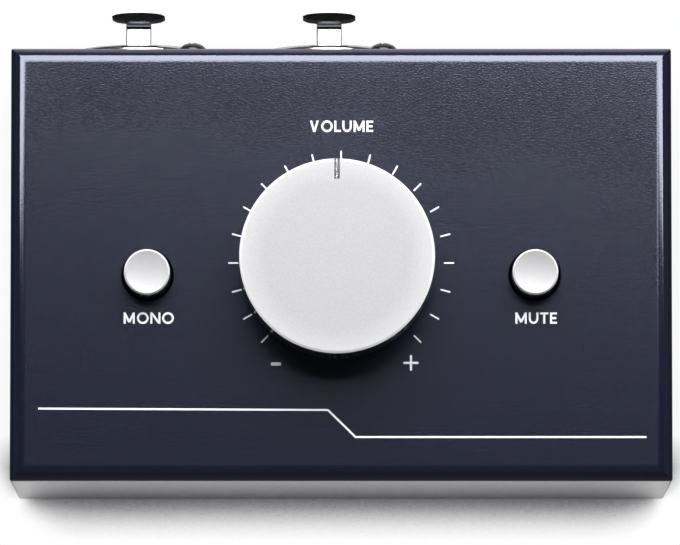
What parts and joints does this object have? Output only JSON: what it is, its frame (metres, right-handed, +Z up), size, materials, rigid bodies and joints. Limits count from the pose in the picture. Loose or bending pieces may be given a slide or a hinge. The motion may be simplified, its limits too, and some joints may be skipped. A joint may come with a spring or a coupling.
{
  "type": "studio monitor controller",
  "caption": "Desktop studio monitor controller: folded steel case with a large volume knob, mono and mute buttons, rear input sockets with release levers and output jacks.",
  "frame": {"origin": "on the ground under the middle of the whole object's box", "axes": "+X along the case's long side, to the right seen from the front; +Y towards the rear sockets; +Z up"},
  "size_m": [0.115, 0.083, 0.058],
  "materials": {
    "painted_case": "fine leather-grain powder coat",
    "knob_aluminium": "bead blasted, polished edge",
    "cap_metal": "satin",
    "lever_chrome": "polished",
    "nickel": "satin nickel plate",
    "screw_black": "black oxide",
    "zinc_steel": "zinc plate",
    "spring_steel": "bright wire",
    "contact_brass": "plated brass",
    "socket_plastic": "moulded",
    "jack_plastic": "moulded",
    "switch_plastic": "moulded",
    "plunger_plastic": "moulded",
    "pot_plastic": "moulded phenolic",
    "insert_plastic": "moulded",
    "circuit_board": "solder mask on glass-fibre laminate",
    "chip_ceramic": "glazed",
    "foot_rubber": "moulded"
  },
  "bodies": {
    "case": {"top_cover": "painted_case", "base_plate": "painted_case", "base_screws": "screw_black", "weld_nuts": "zinc_steel", "foot_front_left": "foot_rubber", "foot_front_right": "foot_rubber", "foot_rear_left": "foot_rubber", "foot_rear_right": "foot_rubber", "control_board": "circuit_board", "board_standoffs": "zinc_steel", "board_screws": "zinc_steel", "resistors": "chip_ceramic", "pot_decks": "pot_plastic", "pot_front_plate": "zinc_steel", "pot_terminals": "contact_brass", "pot_bushing": "contact_brass", "pot_washer": "zinc_steel", "pot_nut": "zinc_steel", "rear_board": "circuit_board", "board_header": "socket_plastic", "header_pins": "contact_brass", "socket_screws": "screw_black", "left_input_shell": "nickel", "left_input_core": "socket_plastic", "left_input_housing": "socket_plastic", "left_input_contacts": "contact_brass", "left_input_jack_springs": "contact_brass", "left_output_jack": "jack_plastic", "left_output_nut": "nickel", "left_output_contacts": "contact_brass", "right_input_shell": "nickel", "right_input_core": "socket_plastic", "right_input_housing": "socket_plastic", "right_input_contacts": "contact_brass", "right_input_jack_springs": "contact_brass", "right_output_jack": "jack_plastic", "right_output_nut": "nickel", "right_output_contacts": "contact_brass", "mono_switch_body": "switch_plastic", "mono_switch_pins": "contact_brass", "mono_return_spring": "spring_steel", "mute_switch_body": "switch_plastic", "mute_switch_pins": "contact_brass", "mute_return_spring": "spring_steel"},
    "volume_knob": {"volume_knob": "knob_aluminium", "knob_insert": "insert_plastic", "pot_shaft": "zinc_steel"},
    "mono_button": {"mono_cap": "cap_metal", "mono_plunger": "plunger_plastic"},
    "mute_button": {"mute_cap": "cap_metal", "mute_plunger": "plunger_plastic"},
    "left_lever": {"left_release_lever": "lever_chrome"},
    "right_lever": {"right_release_lever": "lever_chrome"}
  },
  "joints": [
    {"name": "volume_turn", "type": "hinge", "parent": "case", "child": "volume_knob", "pos_m": [-0.0007, -0.00375, 0.0455], "axis": [0, 0, 1], "range_deg": [-135, 135]},
    {"name": "mono_press", "type": "slide", "parent": "case", "child": "mono_button", "axis": [0, 0, -1], "range_m": [0, 0.003], "stiffness_N_per_m": 400, "springref_m": -0.002, "deforming": ["mono_return_spring"]},
    {"name": "mute_press", "type": "slide", "parent": "case", "child": "mute_button", "axis": [0, 0, -1], "range_m": [0, 0.003], "stiffness_N_per_m": 400, "springref_m": -0.002, "deforming": ["mute_return_spring"]},
    {"name": "left_release", "type": "slide", "parent": "case", "child": "left_lever", "axis": [0, -1, 0], "range_m": [0, 0.0025], "stiffness_N_per_m": 600, "springref_m": -0.002},
    {"name": "right_release", "type": "slide", "parent": "case", "child": "right_lever", "axis": [0, -1, 0], "range_m": [0, 0.0025], "stiffness_N_per_m": 600, "springref_m": -0.002}
  ]
}
